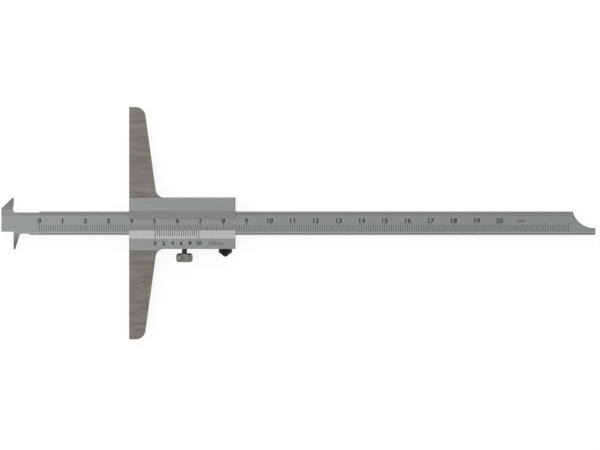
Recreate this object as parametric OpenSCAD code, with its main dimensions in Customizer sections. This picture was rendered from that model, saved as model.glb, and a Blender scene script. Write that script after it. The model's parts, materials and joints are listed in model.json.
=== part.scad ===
// Vernier depth gauge with a double-hook nose, 200 mm range, lying on its back.
// X runs along the beam from the hooks to the tip, Y along the bridge, Z out of the scale face.
// The origin is the middle of the bridge's measuring face, on the centreline of the beam.

/* [Reading] */
// Distance from the measuring face of the bridge to the hook plane
reading = 50.3; // [10:0.1:150]

/* [Beam] */
// Length from the hook plane to the tip
beam_reach = 253; // [215:1:300]
// Width of the beam
beam_w = 10.2; // [9:0.1:12]
// Thickness of the beam
beam_t = 4; // [3:0.1:5]
// Chamfer along the four long edges
beam_chamfer = 0.2; // [0.1:0.05:0.5]
// Width of the raised land along each long edge of the scale face
land_w = 0.75; // [0.6:0.05:1.2]
// Width of the slope that leads down from the upper land to the scale face
upper_slope_w = 1.1; // [0.4:0.1:1.5]
// Width of the slope that leads down from the lower land to the scale face
lower_slope_w = 0.6; // [0.3:0.1:0.9]
// Depth of the scale face below the lands
scale_depth = 0.2; // [0.1:0.05:0.4]

/* [Nose] */
// Length of the nose behind the hook plane
nose_back = 5.3; // [4.5:0.1:7]
// Distance from the hook plane to the zero of the scale, where the full width begins
nose_front = 11.3; // [9.5:0.1:15]
// Relief of the upper edge between the hook and the scale
top_relief = 0.4; // [0.2:0.1:0.7]
// Relief of the lower edge beside the tooth
bottom_relief = 0.5; // [0.2:0.05:0.8]
// Length of the relieved lower edge, measured from the hook plane
bottom_relief_len = 6.3; // [4.5:0.1:7]
// Length of the slope that ends the lower relief
relief_slope = 1.3; // [0.6:0.1:2]
// Height of the cut under the nose, behind the tooth
under_cut = 1.4; // [0.8:0.1:2]
// Thickness of the hook and of the tooth at their tips
edge_t = 1.6; // [1:0.1:2.4]

/* [Hook] */
// Height of the hook's tip above the centreline
hook_h = 11.1; // [10.5:0.1:13]
// Height of the hook's back corner above the centreline
hook_shoulder = 6.4; // [5.8:0.1:7]
// Width of the flat on the hook's tip
hook_tip = 0.5; // [0.2:0.1:1]
// Height of the inner measuring face, down from the tip
hook_face = 3.7; // [2.5:0.1:4]
// Depth of the undercut below the inner face
hook_undercut = 0.3; // [0.1:0.1:0.6]
// Radius of the hook's root
hook_root_r = 1.2; // [0.6:0.1:1.4]

/* [Tooth] */
// Height of the tooth's tip below the centreline
tooth_h = 11.3; // [10:0.1:13]
// Width of the flat on the tooth's tip
tooth_tip = 0.65; // [0.2:0.05:0.8]
// Angle of the tooth's flank from its measuring face
tooth_angle = 17.5; // [12:0.5:24]
// Radius of the tooth's two roots
tooth_root_r = 0.4; // [0.2:0.05:0.7]

/* [Tip] */
// Width of the relieved tip
tip_w = 3; // [2:0.1:4]
// Radius of the hollow that leads to the tip
tip_r = 9.5; // [8:0.5:14]
// Length of the tip beyond the lowest point of the hollow
tip_len = 0.6; // [0:0.1:2]

/* [Slider] */
// Length of the slider
slider_len = 46.2; // [44:0.1:60]
// Width of the slider
slider_w = 22.4; // [21:0.2:26]
// Thickness of the wall behind the beam
back_wall = 2.2; // [1.8:0.1:3]
// Clearance between the beam and its guides
slide_gap = 0.03; // [0.02:0.01:0.06]

/* [Bridge] */
// Length of the measuring face
bridge_len = 101; // [80:1:120]
// Thickness of the bridge
bridge_t = 7; // [6.5:0.1:7.5]
// Width of a wing at its tip
wing_tip_w = 6.5; // [5.5:0.1:8]
// Width of a wing where it meets the slider
wing_root_w = 11.9; // [10:0.1:14]
// Radius of the corner at a wing's tip
wing_tip_r = 4.1; // [3:0.1:5]
// Radius of the fillet where a wing meets the slider
wing_root_r = 3.7; // [2:0.1:5]

/* [Front strips] */
// Thickness of the two strips that hold the beam in its channel
strip_t = 2.2; // [2:0.1:3]
// Height of the upper strip's window edge above the centreline
window_top = 1.85; // [1.5:0.05:2.5]
// Depth of the vernier edge below the centreline
vernier_edge = 3.1; // [2.5:0.05:3.3]
// Width of each strip's bevel
bevel_w = 3.55; // [3:0.05:4]
// Thickness left at the window edge of each strip
bevel_land = 0.25; // [0.15:0.05:0.5]
// Chamfer along the upper strip's outer edge and on both strips' far ends
strip_chamfer = 0.4; // [0.2:0.05:0.6]
// How far the vernier strip reaches past the slider's edge, over the root of the wing
strip_over_wing = 0.65; // [0.2:0.05:1]

/* [Strip screws] */
// Diameter of the strip screws
strip_screw_d = 2; // [1.6:0.1:2.2]
// Diameter of their countersunk heads
strip_head_d = 3.8; // [3.2:0.1:4]
// Depth of their heads below the back face
strip_head_sink = 0.1; // [0.05:0.05:0.3]
// Material left between a screw's end and the front of its strip
strip_front_skin = 0.6; // [0.4:0.1:0.8]

/* [Screws in the lower edge] */
// Place of the first gib adjusting screw, as a share of the edge from the wing's fillet to the slider's end
gib_screw_1_share = 0.09; // [0.07:0.005:0.11]
// Place of the clamp screw, as a share of the same edge
clamp_share = 0.2855; // [0.28:0.0005:0.295]
// Place of the second gib adjusting screw, as a share of the same edge
gib_screw_2_share = 0.572; // [0.56:0.001:0.585]
// Place of the stud that keeps the gib from travelling, as a share of the same edge
gib_stud_share = 0.8575; // [0.85:0.0005:0.865]

/* [Gib] */
// Thickness of the gib
gib_t = 0.5; // [0.3:0.1:0.8]
// Clearance on each side of the gib
gib_gap = 0.07; // [0.04:0.01:0.1]
// Distance from the slider's ends to the ends of the gib
gib_inset = 1.2; // [0.6:0.1:1.8]
// Diameter of the two gib adjusting screws
gib_screw_d = 2; // [1.6:0.1:2.2]
// Length of the two gib adjusting screws
gib_screw_len = 3.6; // [3:0.1:4]
// Diameter of the locating stud
gib_stud_d = 2.5; // [2.2:0.1:2.6]
// Diameter of the spigot on the stud's end
gib_spigot_d = 1.4; // [1.2:0.1:1.6]

/* [Cap nut] */
// Width of the hexagon across its corners
cap_nut_w = 5.9; // [5.5:0.1:6.5]
// Height of the cap nut
cap_nut_h = 3.35; // [3:0.05:4.2]
// Height of its conical end
cap_cone_h = 1.9; // [1.6:0.1:2.2]
// Width of the blunt tip of the cone
cap_tip_w = 1.1; // [0.4:0.1:1.6]

/* [Clamp] */
// Diameter of the clamp stud
clamp_stud_d = 2.5; // [2.2:0.1:2.6]
// Bare length of the stud between the slider and the knob
clamp_stem = 1.85; // [1.2:0.05:3]
// Diameter of the knurled knob
knob_d = 7.1; // [6:0.1:9]
// Height of the knurled knob
knob_h = 3.9; // [3.5:0.1:6]
// Chamfer on both ends of the knob
knob_chamfer = 0.8; // [0.3:0.1:1]
// Number of knurl ridges round the knob
knurl_count = 40; // [24:2:48]
// Depth of the knurl
knurl_depth = 0.2; // [0.1:0.05:0.3]
// Length of the brass pressure pad
pad_len = 1.4; // [1:0.1:2]

/* [Fits] */
// Clearance round a screw or a stud in its hole
screw_gap = 0.05; // [0.02:0.01:0.1]
// Clearance between the released pad and the gib
pad_gap = 0.02; // [0.01:0.01:0.05]

/* [Hidden] */
$fn = 64;

// Overrun of every cut past the face that it opens
over = 1;

// Beam, measured from the hook plane
beam_top = beam_w / 2;
nose_top = beam_top - top_relief;
nose_bottom = -beam_top + bottom_relief;
nose_under = -beam_top + under_cut;
scale_top = beam_top - land_w - upper_slope_w;
scale_bottom = -beam_top + land_w + lower_slope_w;
root_x = hook_root_r - hook_undercut;
root_y = nose_top + hook_root_r;
face_y = hook_h - hook_face;
tooth_root_w = tooth_tip + (tooth_h + nose_bottom) * tan(tooth_angle);
tip_x = beam_reach - tip_len;
tip_y = -beam_top + tip_w + tip_r;

// Levels along Z
channel_z = beam_t / 2 + slide_gap;
front_z = channel_z + strip_t;
back_z = -channel_z - back_wall;
slider_t = front_z - back_z;

// Channel and the walls beside it
slider_edge = slider_w / 2;
channel_top = beam_top + slide_gap;
gib_top = -beam_top - gib_gap;
gib_bottom = gib_top - gib_t;
channel_bottom = gib_bottom - gib_gap;
gib_h = beam_t - 2 * gib_gap;

// Outline of the bridge
wing_end = bridge_len / 2;
wing_run = wing_end - slider_edge;
wing_lean = atan((wing_root_w - wing_tip_w) / wing_run);
shoulder_bottom = -slider_edge - strip_over_wing;

// Places along the lower edge, which runs free from the end of the wing's fillet
edge_start = wing_root_w + wing_root_r / tan(45 + wing_lean / 2);
edge_len = slider_len - edge_start;
gib_screw_1_x = edge_start + gib_screw_1_share * edge_len;
clamp_x = edge_start + clamp_share * edge_len;
gib_screw_2_x = edge_start + gib_screw_2_share * edge_len;
gib_stud_x = edge_start + gib_stud_share * edge_len;

// Strips
upper_bevel_foot = window_top + bevel_w;
vernier_bevel_foot = -vernier_edge - bevel_w;
edge_z = channel_z + bevel_land;

// Strip screws sit in the middle of each flat rail, clear of the screws that cross the lower wall
end_screw_share = 0.13;
upper_screw_y = (upper_bevel_foot + slider_edge) / 2;
vernier_screw_y = (vernier_bevel_foot - slider_edge) / 2;
upper_screw_x = [end_screw_share, 0.5, 1 - end_screw_share] * slider_len;
vernier_screw_x = [
    end_screw_share * slider_len,
    (clamp_x + gib_screw_2_x) / 2,
    (gib_screw_2_x + gib_stud_x) / 2
];
strip_head_h = (strip_head_d - strip_screw_d) / 2;
strip_screw_end = front_z - strip_front_skin;
strip_slot_w = strip_head_d / 7;
strip_slot_depth = strip_head_h / 2;

// Gib screws and their stud
gib_slot_w = gib_screw_d / 5;
gib_slot_depth = gib_screw_d / 4;
cap_bore_depth = cap_nut_h - cap_cone_h / 2;
gib_stud_end = -slider_edge - cap_bore_depth;

// Clamp, from the gib outward
pad_d = clamp_stud_d - 2 * screw_gap;
pad_top = gib_bottom - pad_gap;
pad_bottom = pad_top - pad_len;
pad_spigot_d = clamp_stud_d / 2;
pad_spigot_len = clamp_stud_d / 2;
knob_top = -slider_edge - clamp_stem;
knob_bore_depth = knob_h * 0.75;
clamp_stud_end = knob_top - knob_bore_depth;

// Turns a shape that stands on the XY plane so that it hangs from Y = y and points down along Y
module hang(x, y) {
    translate([x, y, 0]) rotate([90, 0, 0]) children();
}

// Runs a section, drawn with Y to the right and Z up, from x0 to x1
module run_along_x(x0, x1) {
    translate([x0, 0, 0]) rotate([90, 0, 90]) linear_extrude(x1 - x0) children();
}

// Runs a side view, drawn with X to the right and Z up, from y0 to y1
module run_along_y(y0, y1) {
    translate([0, y1, 0]) rotate([90, 0, 0]) linear_extrude(y1 - y0) children();
}

// The piece between a corner at p and an arc tangent to its sides, which run in the directions a1 and a2.
// Added to an outline it fillets the corner. With beyond set it reaches past the corner and cuts it round.
module corner_piece(p, a1, a2, r, beyond = 0) {
    half = (a2 - a1) / 2;
    run = r / tan(half);
    inward = [cos(a1 + half), sin(a1 + half)];
    centre = p + r / sin(half) * inward;
    difference() {
        polygon([p - beyond * inward, p + run * [cos(a1), sin(a1)], centre, p + run * [cos(a2), sin(a2)]]);
        translate(centre) circle(r);
    }
}

// Bar of the beam: full width on the scale, relieved beside the hook and the tooth, hollowed at the tip
module bar_outline() {
    difference() {
        translate([-nose_back, -beam_top]) square([nose_back + beam_reach, beam_w]);
        translate([root_x, nose_top]) square([nose_front - root_x, top_relief + over]);
        translate([-nose_back - over, -beam_top - over]) square([nose_back + over, under_cut + over]);
        polygon([
            [0, -beam_top - over],
            [0, nose_bottom],
            [bottom_relief_len, nose_bottom],
            [bottom_relief_len + relief_slope, -beam_top],
            [bottom_relief_len + relief_slope, -beam_top - over]
        ]);
        translate([root_x, root_y]) circle(hook_root_r);
        translate([tip_x, tip_y]) circle(tip_r);
    }
}

// Upper hook: a steep back, a vertical inner face with an undercut below it, and a round root
module hook_outline() {
    difference() {
        polygon([
            [-nose_back, 0],
            [-nose_back, hook_shoulder],
            [-hook_tip, hook_h],
            [0, hook_h],
            [0, face_y],
            [-hook_undercut, face_y - hook_undercut],
            [-hook_undercut, root_y],
            [root_x, root_y],
            [root_x, 0]
        ]);
        translate([root_x, root_y]) circle(hook_root_r);
    }
}

// Lower tooth: a vertical measuring face toward the nose and a sloping flank
module tooth_outline() {
    polygon([
        [0, 0],
        [0, -tooth_h],
        [tooth_tip, -tooth_h],
        [tooth_root_w, nose_bottom],
        [tooth_root_w, 0]
    ]);
    corner_piece([0, nose_under], 180, 270, tooth_root_r);
    corner_piece([tooth_root_w, nose_bottom], 270 - tooth_angle, 360, tooth_root_r);
}

// Section of the bar, with its four edges chamfered
module bar_section() {
    flat_y = beam_top - beam_chamfer;
    flat_z = beam_t / 2 - beam_chamfer;
    polygon([
        [-beam_top, -flat_z], [-flat_y, -beam_t / 2], [flat_y, -beam_t / 2], [beam_top, -flat_z],
        [beam_top, flat_z], [flat_y, beam_t / 2], [-flat_y, beam_t / 2], [-beam_top, flat_z]
    ]);
}

// Section of the hook and the tooth, which thin towards their tips
module nose_section() {
    polygon([
        [-tooth_h, -edge_t / 2], [nose_under, -beam_t / 2], [scale_top, -beam_t / 2],
        [hook_h, -edge_t / 2], [hook_h, edge_t / 2], [scale_top, beam_t / 2],
        [nose_under, beam_t / 2], [-tooth_h, edge_t / 2]
    ]);
}

// Recess that keeps the graduations below the rubbing lands
module scale_recess() {
    floor_z = beam_t / 2 - scale_depth;
    rise = scale_depth + over;
    reach = rise / scale_depth;
    polygon([
        [scale_bottom, floor_z], [scale_top, floor_z],
        [scale_top + reach * upper_slope_w, floor_z + rise],
        [scale_bottom - reach * lower_slope_w, floor_z + rise]
    ]);
}

module beam() {
    color("silver") translate([-reading, 0, 0]) difference() {
        union() {
            intersection() {
                translate([0, 0, -beam_t / 2]) linear_extrude(beam_t) bar_outline();
                run_along_x(-nose_back, beam_reach) bar_section();
            }
            intersection() {
                translate([0, 0, -beam_t / 2]) linear_extrude(beam_t) {
                    hook_outline();
                    tooth_outline();
                }
                run_along_x(-nose_back, nose_front) nose_section();
            }
        }
        run_along_x(-nose_back - over, beam_reach + over) scale_recess();
    }
}

// One wing of the bridge, toward +Y, with its round outer corner and its root fillet
module wing_outline() {
    corner = [wing_tip_w, wing_end];
    root = [wing_root_w, slider_edge];
    difference() {
        polygon([[0, 0], [wing_root_w, 0], root, corner, [0, wing_end]]);
        corner_piece(corner, 180, 270 + wing_lean, wing_tip_r, over);
    }
    corner_piece(root, 0, 90 + wing_lean, wing_root_r);
}

// Outline of the slider and both wings of the bridge
module body_outline() {
    translate([0, -slider_edge]) square([slider_len, slider_w]);
    wing_outline();
    mirror([0, 1]) wing_outline();
}

// Hole for a strip screw, countersunk in the back face
module strip_screw_hole(x, y) {
    hole_d = strip_screw_d + 2 * screw_gap;
    translate([x, y, back_z - over]) cylinder(h = slider_t, d = hole_d);
    translate([x, y, back_z + strip_head_sink]) strip_screw_head(screw_gap);
    translate([x, y, back_z - over])
        cylinder(h = over + strip_head_sink, d = strip_head_d + 2 * screw_gap);
}

// Conical head of a strip screw, made larger all round by gap to cut its seat
module strip_screw_head(gap) {
    cylinder(h = strip_head_h, d1 = strip_head_d + 2 * gap, d2 = strip_screw_d + 2 * gap);
}

module slider_body() {
    color("gray") difference() {
        translate([0, 0, back_z]) linear_extrude(bridge_t) body_outline();
        translate([-over, shoulder_bottom, channel_z])
            cube([slider_len + 2 * over, slider_edge - shoulder_bottom, front_z]);
        translate([-over, channel_bottom, -channel_z])
            cube([slider_len + 2 * over, channel_top - channel_bottom, front_z]);
        for (x = upper_screw_x) strip_screw_hole(x, upper_screw_y);
        for (x = vernier_screw_x) strip_screw_hole(x, vernier_screw_y);
        wall_hole(clamp_x, clamp_stud_d);
        wall_hole(gib_stud_x, gib_stud_d);
        wall_hole(gib_screw_1_x, gib_screw_d);
        wall_hole(gib_screw_2_x, gib_screw_d);
    }
}

// Hole through the lower wall of the channel for a screw of diameter d
module wall_hole(x, d) {
    hang(x, channel_bottom + over)
        cylinder(h = channel_bottom + slider_edge + 2 * over, d = d + 2 * screw_gap);
}

// Side view of a strip, with X to the right and Z up, chamfered at its far end
module strip_side() {
    polygon([
        [0, channel_z], [slider_len, channel_z], [slider_len, front_z - strip_chamfer],
        [slider_len - strip_chamfer, front_z], [0, front_z]
    ]);
}

// A front strip: its section run along the slider, trimmed to the slider's outline and drilled
module front_strip(y0, y1, screw_xs, screw_y) {
    difference() {
        intersection() {
            translate([0, 0, channel_z]) linear_extrude(strip_t) intersection() {
                body_outline();
                translate([0, y0]) square([slider_len, y1 - y0]);
            }
            run_along_x(0, slider_len) children();
            run_along_y(y0, y1) strip_side();
        }
        for (x = screw_xs) {
            translate([x, screw_y, channel_z - over])
                cylinder(
                    h = strip_screw_end - channel_z + screw_gap + over,
                    d = strip_screw_d + 2 * screw_gap
                );
        }
    }
}

module upper_guide_strip() {
    color("lightgray") front_strip(window_top, slider_edge, upper_screw_x, upper_screw_y)
        polygon([
            [window_top, channel_z], [slider_edge, channel_z], [slider_edge, front_z - strip_chamfer],
            [slider_edge - strip_chamfer, front_z], [upper_bevel_foot, front_z], [window_top, edge_z]
        ]);
}

module vernier_strip() {
    color("lightgray") front_strip(shoulder_bottom, -vernier_edge, vernier_screw_x, vernier_screw_y)
        polygon([
            [-vernier_edge, channel_z], [-vernier_edge, edge_z], [vernier_bevel_foot, front_z],
            [shoulder_bottom, front_z], [shoulder_bottom, channel_z]
        ]);
}

// Countersunk slotted screw from the back face into a strip
module strip_screw(x, y) {
    head_z = back_z + strip_head_sink;
    color("dimgray") difference() {
        union() {
            translate([x, y, head_z]) strip_screw_head(0);
            translate([x, y, head_z]) cylinder(h = strip_screw_end - head_z, d = strip_screw_d);
        }
        translate([x - strip_head_d, y - strip_slot_w / 2, head_z - over])
            cube([2 * strip_head_d, strip_slot_w, strip_slot_depth + over]);
    }
}

// Leaf between the lower edge of the beam and the channel wall, with a hole for the stud's spigot
module gib_strip() {
    color("darkgoldenrod") difference() {
        translate([gib_inset, gib_bottom, -gib_h / 2]) cube([slider_len - 2 * gib_inset, gib_t, gib_h]);
        hang(gib_stud_x, gib_top + over)
            cylinder(h = gib_t + 2 * over, d = gib_spigot_d + 2 * screw_gap);
    }
}

// Headless slotted screw that bears on the gib
module gib_adjusting_screw(x) {
    color("dimgray") difference() {
        hang(x, gib_bottom) cylinder(h = gib_screw_len, d = gib_screw_d);
        translate([x - gib_screw_d, gib_bottom - gib_screw_len - over, -gib_slot_w / 2])
            cube([2 * gib_screw_d, gib_slot_depth + over, gib_slot_w]);
    }
}

module gib_locating_stud() {
    color("black") {
        hang(gib_stud_x, gib_top - gib_gap) cylinder(h = gib_t, d = gib_spigot_d);
        hang(gib_stud_x, gib_bottom) cylinder(h = gib_bottom - gib_stud_end, d = gib_stud_d);
    }
}

// Hexagonal cap nut with a conical end, one flat toward the front
module gib_cap_nut() {
    prism_h = cap_nut_h - cap_cone_h;
    color("black") difference() {
        hang(gib_stud_x, -slider_edge) intersection() {
            cylinder(h = cap_nut_h, d = cap_nut_w, $fn = 6);
            union() {
                cylinder(h = prism_h, d = cap_nut_w);
                translate([0, 0, prism_h]) cylinder(h = cap_cone_h, d1 = cap_nut_w, d2 = cap_tip_w);
            }
        }
        hang(gib_stud_x, -slider_edge + over) cylinder(h = cap_bore_depth + over, d = gib_stud_d);
    }
}

// Brass pad that presses on the gib and swivels in the end of the clamp stud
module clamp_pad() {
    color("goldenrod") {
        hang(clamp_x, pad_top) cylinder(h = pad_len, d = pad_d);
        hang(clamp_x, pad_bottom) cylinder(h = pad_spigot_len - screw_gap, d = pad_spigot_d);
    }
}

module clamp_stud() {
    stud_top = pad_bottom - pad_gap;
    color("black") difference() {
        hang(clamp_x, stud_top) cylinder(h = stud_top - clamp_stud_end, d = clamp_stud_d);
        hang(clamp_x, stud_top + over)
            cylinder(h = pad_spigot_len + over, d = pad_spigot_d + 2 * screw_gap);
    }
}

// Outline of the knurl: a ridge and a groove in turn, all the way round
module knurl_outline() {
    step = 180 / knurl_count;
    polygon([
        for (i = [0 : 2 * knurl_count - 1])
            (knob_d / 2 - (i % 2) * knurl_depth) * [cos(i * step), sin(i * step)]
    ]);
}

// Half section of the space inside the knob's two end chamfers, clear of the ridges between them
module knob_envelope() {
    end_r = knob_d / 2 - knob_chamfer;
    reach = knob_h / 2;
    polygon([[0, 0], [end_r, 0], [end_r + reach, reach], [end_r, knob_h], [0, knob_h]]);
}

module clamp_knob() {
    color("whitesmoke") difference() {
        hang(clamp_x, knob_top) intersection() {
            linear_extrude(knob_h) knurl_outline();
            rotate_extrude() knob_envelope();
        }
        hang(clamp_x, knob_top + over) cylinder(h = knob_bore_depth + over, d = clamp_stud_d);
    }
}

beam();
slider_body();
upper_guide_strip();
vernier_strip();
strip_screw(upper_screw_x[0], upper_screw_y);  // upper_strip_screw_1
strip_screw(upper_screw_x[1], upper_screw_y);  // upper_strip_screw_2
strip_screw(upper_screw_x[2], upper_screw_y);  // upper_strip_screw_3
strip_screw(vernier_screw_x[0], vernier_screw_y);  // vernier_strip_screw_1
strip_screw(vernier_screw_x[1], vernier_screw_y);  // vernier_strip_screw_2
strip_screw(vernier_screw_x[2], vernier_screw_y);  // vernier_strip_screw_3
gib_strip();
gib_adjusting_screw(gib_screw_1_x);  // gib_adjusting_screw_1
gib_adjusting_screw(gib_screw_2_x);  // gib_adjusting_screw_2
gib_locating_stud();
gib_cap_nut();
clamp_pad();
clamp_stud();
clamp_knob();
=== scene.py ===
import math

import bmesh
import bpy
from mathutils import Matrix, Vector
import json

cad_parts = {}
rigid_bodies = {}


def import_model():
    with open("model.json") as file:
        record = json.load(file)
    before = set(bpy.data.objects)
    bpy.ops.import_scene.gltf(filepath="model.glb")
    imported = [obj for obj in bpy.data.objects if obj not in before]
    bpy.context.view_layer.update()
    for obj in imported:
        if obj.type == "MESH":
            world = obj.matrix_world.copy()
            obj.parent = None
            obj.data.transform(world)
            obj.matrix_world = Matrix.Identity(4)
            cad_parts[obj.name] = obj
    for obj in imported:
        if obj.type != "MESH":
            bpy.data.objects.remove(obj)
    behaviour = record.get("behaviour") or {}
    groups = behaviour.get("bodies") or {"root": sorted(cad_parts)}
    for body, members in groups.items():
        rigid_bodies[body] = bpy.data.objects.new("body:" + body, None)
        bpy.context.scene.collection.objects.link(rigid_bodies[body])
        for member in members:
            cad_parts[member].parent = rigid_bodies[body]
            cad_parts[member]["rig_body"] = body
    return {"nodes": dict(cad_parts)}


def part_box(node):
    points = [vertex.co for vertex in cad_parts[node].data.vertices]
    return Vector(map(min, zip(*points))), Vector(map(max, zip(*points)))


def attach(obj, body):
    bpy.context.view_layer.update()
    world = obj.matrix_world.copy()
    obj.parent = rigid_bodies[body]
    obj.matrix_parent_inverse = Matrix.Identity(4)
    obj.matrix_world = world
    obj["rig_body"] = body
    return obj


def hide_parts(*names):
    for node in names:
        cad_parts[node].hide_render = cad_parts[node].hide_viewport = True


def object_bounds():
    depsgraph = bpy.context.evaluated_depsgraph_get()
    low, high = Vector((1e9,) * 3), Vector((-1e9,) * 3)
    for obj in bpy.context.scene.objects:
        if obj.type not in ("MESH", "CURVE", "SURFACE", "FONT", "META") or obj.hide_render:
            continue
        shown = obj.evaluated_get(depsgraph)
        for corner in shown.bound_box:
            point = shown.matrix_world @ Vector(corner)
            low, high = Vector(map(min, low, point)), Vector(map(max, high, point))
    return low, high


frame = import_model()
cad_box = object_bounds()

# Beam: one bar of stainless steel, hardened, ground on all sides and satin chromed.
# The hook and the tooth at its left end are ground thin towards their tips. The shade on them
# and on the two long rims is painted into the base colour, darker than the plated flats.
MM = 0.001
SCREEN_GAMMA = 2.2
NOSE_BACK = 5.3 * MM
NOSE_FRONT = 11.3 * MM
HOOK_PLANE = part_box("beam")[0].x + NOSE_BACK
NOSE_END = HOOK_PLANE + NOSE_FRONT
NOSE_FADE = 0.5 * MM
BEAM_EDGE = 0.04 * MM
BEAM_EDGE_ANGLE = 6
EDGE_ANGLE = 25
EDGE_SEGMENTS = 2
MERGE_DISTANCE = 1e-7
FLAT_ANGLE = math.radians(0.3)
# Painted shade across the beam, each a place in millimetres from the centreline and a level that the
# base colour is multiplied by.
SHADE_REACH = 11.0
NOSE_PAINTED_SHADE = (
    (-11.0, 0.40),
    (-8.0, 0.64),
    (-6.5, 0.86),
    (-5.3, 1.0),
    (4.6, 1.0),
    (5.3, 0.86),
    (6.2, 0.64),
    (8.0, 0.58),
    (11.0, 0.46),
)
RIM_PAINTED_SHADE = ((-4.5, 0.8), (-4.2, 1.0), (3.3, 1.0), (3.8, 0.87), (4.6, 0.87), (5.0, 0.96))


def seen_colour(red, green, blue):
    """The linear colour of a tone that is given as it is seen, from 0 to 255."""
    return tuple((tone / 255) ** SCREEN_GAMMA for tone in (red, green, blue)) + (1.0,)


def new_finish(name):
    """An empty node material with its shader, its texture coordinates and its links."""
    finish = bpy.data.materials.new(name)
    finish.use_nodes = True
    tree = finish.node_tree
    shader = tree.nodes["Principled BSDF"]
    place = tree.nodes.new("ShaderNodeTexCoord").outputs["Object"]
    return finish, tree, shader, place


def streaks(tree, place, scale, detail, roughness=0.5):
    """Noise that is stretched by a different scale along each axis, as wide as 0 to 1."""
    mapping = tree.nodes.new("ShaderNodeMapping")
    mapping.inputs["Scale"].default_value = scale
    noise = tree.nodes.new("ShaderNodeTexNoise")
    noise.inputs["Scale"].default_value = 1.0
    noise.inputs["Detail"].default_value = detail
    noise.inputs["Roughness"].default_value = roughness
    tree.links.new(place, mapping.inputs["Vector"])
    tree.links.new(mapping.outputs["Vector"], noise.inputs["Vector"])
    return noise.outputs["Fac"]


def spread(tree, value, low, high, start=0.3, end=0.7):
    """Value between start and end becomes a number between low and high."""
    span = tree.nodes.new("ShaderNodeMapRange")
    span.inputs["From Min"].default_value = start
    span.inputs["From Max"].default_value = end
    span.inputs["To Min"].default_value = low
    span.inputs["To Max"].default_value = high
    tree.links.new(value, span.inputs["Value"])
    return span.outputs["Result"]


def combined(tree, operation, *values):
    """One number worked out from sockets or plain numbers."""
    maths = tree.nodes.new("ShaderNodeMath")
    maths.operation = operation
    for socket, value in zip(maths.inputs, values):
        if isinstance(value, bpy.types.NodeSocket):
            tree.links.new(value, socket)
        else:
            socket.default_value = value
    return maths.outputs[0]


def blended(tree, share, first, second):
    """Two colours, given as values or sockets, mixed by a share socket."""
    mix = tree.nodes.new("ShaderNodeMix")
    mix.data_type = "RGBA"
    for socket, value in ((mix.inputs[0], share), (mix.inputs[6], first), (mix.inputs[7], second)):
        if isinstance(value, bpy.types.NodeSocket):
            tree.links.new(value, socket)
        else:
            socket.default_value = value
    return mix.outputs[2]


def graded(tree, value, stops):
    """A number between 0 and 1 that follows the stops, each a place and a level."""
    ramp = tree.nodes.new("ShaderNodeValToRGB")
    while len(ramp.color_ramp.elements) < len(stops):
        ramp.color_ramp.elements.new(0.5)
    for element, (place, level) in zip(ramp.color_ramp.elements, stops):
        element.position = place
        element.color = (level, level, level, 1)
    tree.links.new(value, ramp.inputs["Fac"])
    return ramp.outputs["Color"]


def dented(tree, shader, height, distance):
    """Height becomes bumps of that distance, in metres, on the shader."""
    bump = tree.nodes.new("ShaderNodeBump")
    bump.inputs["Distance"].default_value = distance
    tree.links.new(height, bump.inputs["Height"])
    tree.links.new(bump.outputs["Normal"], shader.inputs["Normal"])


def ground_metal(name, dark, light, rough, grain, marks=(60, 900, 900), depth=1.5e-6):
    """Machined metal: a fine grain and longer grinding marks, each by its three scales."""
    finish, tree, shader, place = new_finish(name)
    fine = streaks(tree, place, grain, detail=3.0, roughness=0.65)
    long_marks = streaks(tree, place, marks, detail=3.0, roughness=0.6)
    tone = combined(tree, "ADD", spread(tree, fine, 0.0, 0.4), spread(tree, long_marks, 0.0, 0.6))
    colour = blended(tree, tone, dark, light)
    tree.links.new(colour, shader.inputs["Base Color"])
    tree.links.new(spread(tree, fine, rough + 0.04, rough - 0.04), shader.inputs["Roughness"])
    dented(tree, shader, fine, depth)
    shader.inputs["Metallic"].default_value = 1.0
    return finish, tree, shader, place, colour


def edged_copy(node, name, edge, angle=EDGE_ANGLE):
    """A piece that stands for a CAD node: its own mesh, with the sharp edges broken by edge."""
    mesh = bpy.data.meshes.new(name)
    shape = bmesh.new()
    shape.from_mesh(frame["nodes"][node].data)
    bmesh.ops.remove_doubles(shape, verts=shape.verts, dist=MERGE_DISTANCE)
    bmesh.ops.dissolve_limit(
        shape, angle_limit=FLAT_ANGLE, verts=shape.verts, edges=shape.edges
    )
    for face in shape.faces:
        face.smooth = True
    shape.to_mesh(mesh)
    shape.free()
    mesh.set_sharp_from_angle(angle=math.radians(angle))
    piece = bpy.data.objects.new(name, mesh)
    bpy.context.scene.collection.objects.link(piece)
    broken = piece.modifiers.new("broken_edges", "BEVEL")
    broken.width = edge
    broken.segments = EDGE_SEGMENTS
    broken.limit_method = "ANGLE"
    broken.angle_limit = math.radians(angle)
    broken.harden_normals = True
    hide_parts(node)
    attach(piece, frame["nodes"][node]["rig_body"])
    return piece


beam = edged_copy("beam", "scale_beam", BEAM_EDGE, angle=BEAM_EDGE_ANGLE)
beam_finish, tree, shader, place, colour = ground_metal(
    "satin_chrome_beam_finish_with_painted_shade",
    dark=seen_colour(130, 131, 131),
    light=seen_colour(136, 137, 137),
    rough=0.34,
    grain=(180, 5200, 5200),
    marks=(25, 700, 700),
)
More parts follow.
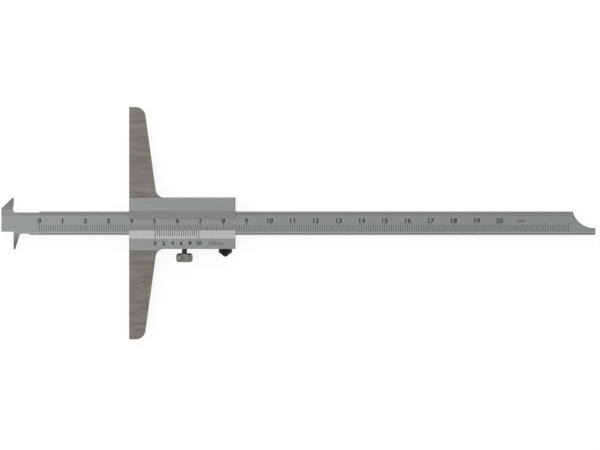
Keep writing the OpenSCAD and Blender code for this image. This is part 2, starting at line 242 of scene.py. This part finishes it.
# Painted shade: the base colour is darkened by place across the beam, on the hook, the tooth and the
# two long rims.
spot = tree.nodes.new("ShaderNodeSeparateXYZ")
tree.links.new(place, spot.inputs[0])
across = spread(tree, spot.outputs["Y"], 0.0, 1.0, -SHADE_REACH * MM, SHADE_REACH * MM)
nose_painted_shade, rim_painted_shade = (
    graded(tree, across, [((y / SHADE_REACH + 1) / 2, level) for y, level in shade_stops])
    for shade_stops in (NOSE_PAINTED_SHADE, RIM_PAINTED_SHADE)
)
on_rim = spread(tree, spot.outputs["X"], 0.0, 1.0, NOSE_END - NOSE_FADE, NOSE_END)
share = combined(tree, "ADD", 0.0, blended(tree, on_rim, nose_painted_shade, rim_painted_shade))
tree.links.new(blended(tree, share, (0, 0, 0, 1), colour), shader.inputs["Base Color"])
beam.data.materials.append(beam_finish)

# Main scale: 231 millimetre lines and the centimetre numbers, engraved in the recessed
# face of the beam and filled with black. The fill is a thin flat layer of paint, so each
# line is a slim block that stands a hundredth of a millimetre out of the steel.
SCALE_ZERO = NOSE_END
SCALE_LENGTH = 230
SCALE_DEPTH = 0.2 * MM
SCALE_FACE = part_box("beam")[1].z - SCALE_DEPTH
FILL = 0.012 * MM
LINE_W = 0.18 * MM
LINE_FOOT = -3.6 * MM
LINE_TOPS = {10: 0.0, 5: -0.5 * MM, 1: -0.8 * MM}
NUMBER_Y = 1.15 * MM
NUMBER_H = 2.05 * MM
LAST_NUMBER = 20
UNIT_X = SCALE_ZERO + 209.6 * MM
UNIT_H = 1.75 * MM
# The font's own digit height, and how near two of its points are to count as one.
DIGIT_H = 0.73
POINT_MERGE = 0.004


def block(shape, low, high):
    """Adds a rectangular block between two corners to a bmesh."""
    centre = (Vector(low) + Vector(high)) / 2
    size = Vector(high) - Vector(low)
    place = Matrix.Translation(centre) @ Matrix.Diagonal(size.to_4d())
    return bmesh.ops.create_cube(shape, size=1.0, matrix=place)["verts"]


def letter(shape, text, height, centre, stretch=1.12, weight=0.035):
    """Adds a line of text to a bmesh, as a slab of fill that is centred on a point.

    The font's 4 has two points at nearly the same place, which are merged before the
    strokes are widened by weight. Large flat faces keep the widened outline clean.
    """
    curve = bpy.data.curves.new("lettering", "FONT")
    curve.body = text
    curve.align_x = "CENTER"
    curve.resolution_u = 3
    holder = bpy.data.objects.new("lettering", curve)
    bpy.context.scene.collection.objects.link(holder)
    bpy.context.view_layer.update()
    posed = holder.evaluated_get(bpy.context.evaluated_depsgraph_get())
    flat = bpy.data.meshes.new_from_object(posed)
    glyphs = bmesh.new()
    glyphs.from_mesh(flat)
    bmesh.ops.remove_doubles(glyphs, verts=glyphs.verts, dist=POINT_MERGE)
    bmesh.ops.dissolve_limit(
        glyphs, angle_limit=FLAT_ANGLE, verts=glyphs.verts, edges=glyphs.edges
    )
    if weight:
        rim = bmesh.ops.inset_region(
            glyphs,
            faces=glyphs.faces[:],
            thickness=-weight,
            use_boundary=True,
            use_even_offset=True,
        )["faces"]
        bmesh.ops.delete(glyphs, geom=rim, context="FACES")
    slab = bmesh.ops.extrude_face_region(glyphs, geom=glyphs.faces[:])["geom"]
    raised = [item for item in slab if isinstance(item, bmesh.types.BMVert)]
    bmesh.ops.translate(glyphs, verts=raised, vec=(0, 0, 1))
    bmesh.ops.recalc_face_normals(glyphs, faces=glyphs.faces)
    bmesh.ops.transform(
        glyphs,
        matrix=Matrix.Translation(centre)
        @ Matrix.Diagonal((height * stretch / DIGIT_H, height / DIGIT_H, 2 * FILL, 1))
        @ Matrix.Translation((0, -DIGIT_H / 2, -0.5)),
        verts=glyphs.verts,
    )
    glyphs.to_mesh(flat)
    glyphs.free()
    shape.from_mesh(flat)
    bpy.data.objects.remove(holder)
    bpy.data.curves.remove(curve)
    bpy.data.meshes.remove(flat)


def marking(shape, name, body, finish):
    """Makes a bmesh a piece of paint fill on a body."""
    mesh = bpy.data.meshes.new(name)
    shape.to_mesh(mesh)
    shape.free()
    mesh.materials.append(finish)
    piece = bpy.data.objects.new(name, mesh)
    bpy.context.scene.collection.objects.link(piece)
    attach(piece, body)
    return piece


fill_finish, tree, shader, place = new_finish("black_fill_finish")
worn = streaks(tree, place, (900, 900, 900), detail=3.0)
tree.links.new(
    blended(tree, spread(tree, worn, 0.0, 1.0), seen_colour(26, 26, 27), seen_colour(60, 60, 60)),
    shader.inputs["Base Color"],
)
shader.inputs["Roughness"].default_value = 0.55

lines = bmesh.new()
for millimetre in range(SCALE_LENGTH + 1):
    x = SCALE_ZERO + millimetre * MM
    step = 10 if millimetre % 10 == 0 else 5 if millimetre % 5 == 0 else 1
    block(
        lines,
        (x - LINE_W / 2, LINE_FOOT, SCALE_FACE - FILL),
        (x + LINE_W / 2, LINE_TOPS[step], SCALE_FACE + FILL),
    )
marking(lines, "main_scale_lines", "beam", fill_finish)

numbers = bmesh.new()
for centimetre in range(LAST_NUMBER + 1):
    centre = (SCALE_ZERO + centimetre * 10 * MM, NUMBER_Y, SCALE_FACE)
    letter(numbers, str(centimetre), NUMBER_H, centre)
unit_place = (UNIT_X, NUMBER_Y, SCALE_FACE)
letter(numbers, "mm", UNIT_H, unit_place, stretch=1.0, weight=0.0)
marking(numbers, "main_scale_numbers", "beam", fill_finish)

# Slider body: one milled block of stainless steel, T shaped, with the channel for the beam
# between its guide walls. The two wings are left as ground, with the grain along the beam,
# and their edges are broken with a stone.
BODY_EDGE = 0.22 * MM

body = edged_copy("slider_body", "bridge_body", BODY_EDGE)
body_finish = ground_metal(
    "ground_steel_finish",
    dark=seen_colour(97, 94, 89),
    light=seen_colour(126, 123, 118),
    rough=0.38,
    grain=(60, 1800, 1800),
    marks=(90, 620, 620),
    depth=2.5e-6,
)[0]
body.data.materials.append(body_finish)

# Front strips: two strips of satin chromed steel, screwed to the body from behind. They
# hold the beam down in its channel, and a bevel along each window edge brings the vernier
# close to the scale.
STRIP_EDGE = 0.05 * MM

strip_finish = ground_metal(
    "satin_chrome_slider_finish",
    dark=seen_colour(131, 132, 132),
    light=seen_colour(139, 140, 139),
    rough=0.34,
    grain=(300, 4200, 4200),
    marks=(40, 800, 800),
)[0]
for node, name in (("upper_guide_strip", "upper_strip"), ("vernier_strip", "lower_strip")):
    strip = edged_copy(node, name, STRIP_EDGE)
    strip.data.materials.append(strip_finish)

# Vernier: twenty divisions over 19 mm on the lower bevel, with every second line a little
# longer and numbered on the flat rail below. It is engraved and filled as the main scale is,
# and the rail lies one thickness of fill low, so that the fill ends level with the solid.
VERNIER_ZERO = NOSE_FRONT
VERNIER_STEP = 0.95 * MM
VERNIER_DIVISIONS = 20
VERNIER_LINE_W = 0.3 * MM
VERNIER_NUMBER_H = 1.6 * MM
VERNIER_NUMBER_Y = -8.6 * MM
VERNIER_UNIT_X = 37.8 * MM
BEVEL_W = 3.55 * MM
BEVEL_LAND = 0.25 * MM
LINE_START = 0.05 * MM
RAIL_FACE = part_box("vernier_strip")[1].z - FILL
BEVEL_EDGE = Vector((0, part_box("vernier_strip")[1].y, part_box("vernier_strip")[0].z + BEVEL_LAND))
BEVEL_FOOT = Vector((0, BEVEL_EDGE.y - BEVEL_W, RAIL_FACE))
LINE_SHARES = {VERNIER_DIVISIONS: 0.97, 2: 0.82, 1: 0.7}

for corner in bpy.data.objects["lower_strip"].data.vertices:
    corner.co.z = min(corner.co.z, RAIL_FACE)

lines = bmesh.new()
down = BEVEL_FOOT - BEVEL_EDGE
lean = Matrix.Translation(BEVEL_EDGE) @ Matrix.Rotation(math.atan2(down.z, down.y), 4, "X")
for division in range(VERNIER_DIVISIONS + 1):
    x = VERNIER_ZERO + division * VERNIER_STEP
    at_end = division % VERNIER_DIVISIONS == 0
    step = VERNIER_DIVISIONS if at_end else 2 if division % 2 == 0 else 1
    slab = block(
        lines,
        (x - VERNIER_LINE_W / 2, LINE_START, -FILL),
        (x + VERNIER_LINE_W / 2, LINE_SHARES[step] * down.length, FILL),
    )
    bmesh.ops.transform(lines, matrix=lean, verts=slab)
marking(lines, "vernier_lines", "slider", fill_finish)

numbers = bmesh.new()
for number in range(0, VERNIER_DIVISIONS // 2 + 1, 2):
    x = VERNIER_ZERO + 2 * number * VERNIER_STEP
    letter(numbers, str(number), VERNIER_NUMBER_H, (x, VERNIER_NUMBER_Y, RAIL_FACE), weight=0.05)
unit_place = (VERNIER_UNIT_X, VERNIER_NUMBER_Y, RAIL_FACE)
letter(numbers, "0.05mm", VERNIER_NUMBER_H, unit_place, stretch=0.9, weight=0.0)
marking(numbers, "vernier_numbers", "slider", fill_finish)

# Strip screws: six countersunk slotted screws in the back of the body, in black oxide with
# a trace of oil, their heads a little below the ground face.
SCREW_EDGE = 0.05 * MM

black_finish, tree, shader, place = new_finish("black_oxide_finish")
patch = streaks(tree, place, (700, 700, 700), detail=4.0)
tree.links.new(
    blended(tree, spread(tree, patch, 0.0, 1.0), seen_colour(8, 8, 8), seen_colour(22, 22, 21)),
    shader.inputs["Base Color"],
)
tree.links.new(spread(tree, patch, 0.1, 0.2), shader.inputs["Roughness"])
shader.inputs["Specular IOR Level"].default_value = 0.1
dented(tree, shader, patch, 2e-6)
for side in ("upper", "vernier"):
    for number in (1, 2, 3):
        node = f"{side}_strip_screw_{number}"
        screw = edged_copy(node, f"{side}_countersunk_screw_{number}", SCREW_EDGE)
        screw.data.materials.append(black_finish)

# Gib: a leaf of phosphor bronze that takes up the play under the beam, the two headless
# screws that set it, and the stud whose spigot keeps it in place.
GIB_EDGE = 0.04 * MM

gib = edged_copy("gib_strip", "gib_leaf", GIB_EDGE)
gib.data.materials.append(
    ground_metal(
        "phosphor_bronze_finish",
        dark=seen_colour(170, 128, 88),
        light=seen_colour(200, 158, 112),
        rough=0.3,
        grain=(200, 3000, 3000),
    )[0]
)
for node, name in (
    ("gib_adjusting_screw_1", "gib_screw_1"),
    ("gib_adjusting_screw_2", "gib_screw_2"),
    ("gib_locating_stud", "gib_stud"),
):
    screw = edged_copy(node, name, GIB_EDGE)
    screw.data.materials.append(black_finish)

# Cap nut: a small turned hexagon with a conical end, blackened, that locks the gib's stud.
# Its broken edges get a lighter grey finish: partly wear from spanners, partly a painted highlight
# for the glints along the edges.
CAP_EDGE = 0.16 * MM

cap = edged_copy("gib_cap_nut", "cap_nut", CAP_EDGE)
cap.data.materials.append(black_finish)
cap.data.materials.append(
    ground_metal(
        "edge_wear_and_painted_glint_finish",
        dark=seen_colour(42, 42, 41),
        light=seen_colour(58, 58, 56),
        rough=0.4,
        grain=(900, 900, 900),
    )[0]
)
# The bevel faces take the lighter finish: a painted highlight along the edges, together with wear.
cap.modifiers["broken_edges"].material = 1

# Clamp screw: a blackened stud with a metric thread of 0.45 mm pitch. Its inner end is
# bored for the spigot of the brass pad that it presses on the gib.
PITCH = 0.45 * MM
THREAD_DEPTH = 0.25 * MM
TURN_STEPS = 24
POCKET_WALL = 0.45 * MM
POCKET_DEPTH = 1.25 * MM
WALL_TAPER = 1e-6
PAD_EDGE = 0.05 * MM
THREAD_PROFILE = (
    (-THREAD_DEPTH, 0.0),
    (0.0, 0.4),
    (0.0, 0.55),
    (-THREAD_DEPTH, 0.95),
    (-THREAD_DEPTH, 1.0),
)


def threaded_stud(low, high, steps):
    """A right-hand threaded rod along Y in the box between two corners, as a bmesh."""
    crest = (high.x - low.x) / 2
    middle = (low.x + high.x) / 2
    turns = math.ceil((high.y - low.y) / PITCH) + 2
    shape = bmesh.new()
    corners = [
        shape.verts.new((middle + crest + inset, high.y + (1 - run) * PITCH, 0))
        for inset, run in THREAD_PROFILE
    ]
    flanks = [shape.edges.new(pair) for pair in zip(corners, corners[1:])]
    bmesh.ops.spin(
        shape,
        geom=corners + flanks,
        cent=(middle, 0, 0),
        axis=(0, -1, 0),
        dvec=(0, -PITCH / steps, 0),
        angle=turns * math.tau,
        steps=turns * steps,
    )
    bmesh.ops.remove_doubles(shape, verts=shape.verts, dist=MERGE_DISTANCE)
    for level, side in ((high.y, 1), (low.y, -1)):
        cut = bmesh.ops.bisect_plane(
            shape,
            geom=shape.verts[:] + shape.edges[:] + shape.faces[:],
            plane_co=(0, level, 0),
            plane_no=(0, side, 0),
            clear_outer=True,
        )
        rim = [item for item in cut["geom_cut"] if isinstance(item, bmesh.types.BMEdge)]
        cap_face = bmesh.ops.contextual_create(shape, geom=rim)["faces"]
        if side == 1:
            bmesh.ops.inset_individual(shape, faces=cap_face, thickness=POCKET_WALL)
            bmesh.ops.inset_individual(
                shape, faces=cap_face, thickness=WALL_TAPER, depth=-POCKET_DEPTH
            )
    bmesh.ops.recalc_face_normals(shape, faces=shape.faces)
    return shape


low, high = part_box("clamp_stud")
thread = threaded_stud(low, high, TURN_STEPS)
mesh = bpy.data.meshes.new("clamp_screw_stud")
thread.to_mesh(mesh)
thread.free()
mesh.materials.append(
    ground_metal(
        "blued_steel_finish",
        dark=seen_colour(92, 90, 85),
        light=seen_colour(116, 114, 107),
        rough=0.26,
        grain=(900, 900, 900),
    )[0]
)
stud = bpy.data.objects.new("clamp_screw_stud", mesh)
bpy.context.scene.collection.objects.link(stud)
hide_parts("clamp_stud")
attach(stud, "clamp_screw")

pad = edged_copy("clamp_pad", "pressure_pad", PAD_EDGE)
pad.data.materials.append(
    ground_metal(
        "brass_finish",
        dark=seen_colour(190, 160, 96),
        light=seen_colour(214, 186, 120),
        rough=0.3,
        grain=(2000, 200, 2000),
    )[0]
)

# Clamp knob: a turned head of nickel plated steel, straight knurled between two round
# shoulders, bored and pressed on the stud.
RIDGES = 40
RIDGE_DEPTH = 0.2 * MM
SHOULDER = 1.0 * MM
SHOULDER_SEGMENTS = 5
KNURL_SHARP_ANGLE = 35
BORE_R = 1.25 * MM
BORE_DEPTH = 2.9 * MM

low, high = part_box("clamp_knob")
centre = (low + high) / 2
radius = (high.x - low.x) / 2
turned = bmesh.new()
bmesh.ops.create_cone(
    turned,
    cap_ends=True,
    segments=2 * RIDGES,
    radius1=radius,
    radius2=radius,
    depth=high.y - low.y,
)
rims = [
    edge
    for edge in turned.edges
    if len(edge.link_faces[0].verts) != len(edge.link_faces[1].verts)
]
bmesh.ops.bevel(
    turned,
    geom=rims,
    offset=SHOULDER,
    segments=SHOULDER_SEGMENTS,
    profile=0.5,
    affect="EDGES",
    material=-1,
)
for corner in turned.verts:
    groove = round(math.atan2(corner.co.y, corner.co.x) * RIDGES / math.pi) % 2
    if groove and corner.co.xy.length > radius - MERGE_DISTANCE:
        corner.co.xy *= 1 - RIDGE_DEPTH / radius
near_end = [max(turned.faces, key=lambda face: face.calc_center_median().z)]
bmesh.ops.inset_individual(turned, faces=near_end, thickness=radius - SHOULDER - BORE_R)
bmesh.ops.inset_individual(turned, faces=near_end, thickness=WALL_TAPER, depth=-BORE_DEPTH)
for face in turned.faces:
    face.smooth = True
mesh = bpy.data.meshes.new("clamp_screw_knob")
turned.to_mesh(mesh)
turned.free()
mesh.transform(Matrix.Translation(centre) @ Matrix.Rotation(-math.pi / 2, 4, "X"))
mesh.set_sharp_from_angle(angle=math.radians(KNURL_SHARP_ANGLE))
mesh.materials.append(
    ground_metal(
        "nickel_plate_finish",
        dark=seen_colour(110, 110, 105),
        light=seen_colour(127, 127, 121),
        rough=0.34,
        grain=(900, 900, 900),
    )[0]
)
knob = bpy.data.objects.new("clamp_screw_knob", mesh)
bpy.context.scene.collection.objects.link(knob)
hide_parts("clamp_knob")
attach(knob, "clamp_screw")

# Bench and studio: the gauge lies on a white sheet, under a broad even light that is
# stronger from the upper left, and the camera looks straight down from far off.
VIEW_FROM_HOOK = 124.56 * MM
VIEW_Y = -0.78 * MM
VIEW_CENTRE = Vector((HOOK_PLANE + VIEW_FROM_HOOK, VIEW_Y, SCALE_FACE))
VIEW_WIDTH = 260.87 * MM
VIEW_DISTANCE = 3.0
BENCH_Z = cad_box[0].z
PAPER_GLOW = 0.88
PAPER_BASE = 0.15
SHEET_HALF = 3.0
SKY_LOW = 0.61
SKY_HIGH = 0.75
SKY_SLOPE = 0.15

sheet = bmesh.new()
bmesh.ops.create_grid(sheet, x_segments=1, y_segments=1, size=SHEET_HALF)
bmesh.ops.translate(sheet, verts=sheet.verts, vec=(VIEW_CENTRE.x, 0, BENCH_Z))
mesh = bpy.data.meshes.new("white_sheet")
sheet.to_mesh(mesh)
sheet.free()
floor = bpy.data.objects.new("white_sheet", mesh)
bpy.context.scene.collection.objects.link(floor)
paper, tree, shader, _ = new_finish("white_paper_finish")
shader.inputs["Base Color"].default_value = (PAPER_BASE, PAPER_BASE, PAPER_BASE, 1)
shader.inputs["Roughness"].default_value = 0.9
shader.inputs["Specular IOR Level"].default_value = 0.0
shader.inputs["Emission Color"].default_value = (1, 1, 1, 1)
path = tree.nodes.new("ShaderNodeLightPath").outputs
direct = combined(tree, "MAXIMUM", path["Is Camera Ray"], path["Is Transmission Ray"])
seen = combined(tree, "MAXIMUM", direct, path["Is Glossy Ray"])
tree.links.new(combined(tree, "MULTIPLY", seen, PAPER_GLOW), shader.inputs["Emission Strength"])
mesh.materials.append(paper)

world = bpy.data.worlds.new("studio")
bpy.context.scene.world = world
world.use_nodes = True
tree = world.node_tree
around = tree.nodes.new("ShaderNodeTexCoord").outputs["Generated"]
direction = tree.nodes.new("ShaderNodeSeparateXYZ")
tree.links.new(around, direction.inputs[0])
height = spread(tree, direction.outputs["Z"], SKY_LOW, SKY_HIGH, 0.0, 0.6)
slope = spread(tree, direction.outputs["X"], SKY_SLOPE, -SKY_SLOPE, -0.7, 0.7)
level = combined(tree, "ADD", height, slope)
path = tree.nodes.new("ShaderNodeLightPath").outputs
direct = combined(tree, "MAXIMUM", path["Is Camera Ray"], path["Is Transmission Ray"])
seen = combined(tree, "MAXIMUM", direct, path["Is Glossy Ray"])
strength = combined(tree, "MAXIMUM", level, seen)
tree.links.new(strength, tree.nodes["Background"].inputs["Strength"])
tree.nodes["Background"].inputs["Color"].default_value = (1, 1, 1, 1)


def softbox(name, place, width, height, radiance):
    """A flat lamp that faces the gauge, given by how bright its face is."""
    lamp = bpy.data.lights.new(name, "AREA")
    lamp.shape = "RECTANGLE"
    lamp.size = width
    lamp.size_y = height
    lamp.energy = radiance * math.pi * width * height
    box = bpy.data.objects.new(name, lamp)
    box.location = place
    box.rotation_euler = (VIEW_CENTRE - box.location).to_track_quat("-Z", "Y").to_euler()
    box.visible_camera = False
    bpy.context.scene.collection.objects.link(box)


softbox(
    "back_softbox", place=Vector((-0.1, 0.75, 0.48)), width=1.4, height=0.5, radiance=1.3
)
softbox(
    "left_softbox", place=Vector((-0.25, 0.12, 0.7)), width=0.6, height=0.4, radiance=0.97
)

lens = bpy.data.cameras.new("camera")
lens.sensor_width = 36.0
lens.lens = lens.sensor_width * VIEW_DISTANCE / VIEW_WIDTH
lens.clip_start = 0.01
lens.clip_end = 20.0
camera = bpy.data.objects.new("camera", lens)
camera.location = VIEW_CENTRE + Vector((0, 0, VIEW_DISTANCE))
bpy.context.scene.collection.objects.link(camera)
bpy.context.scene.camera = camera
bpy.context.scene.view_settings.view_transform = "Standard"
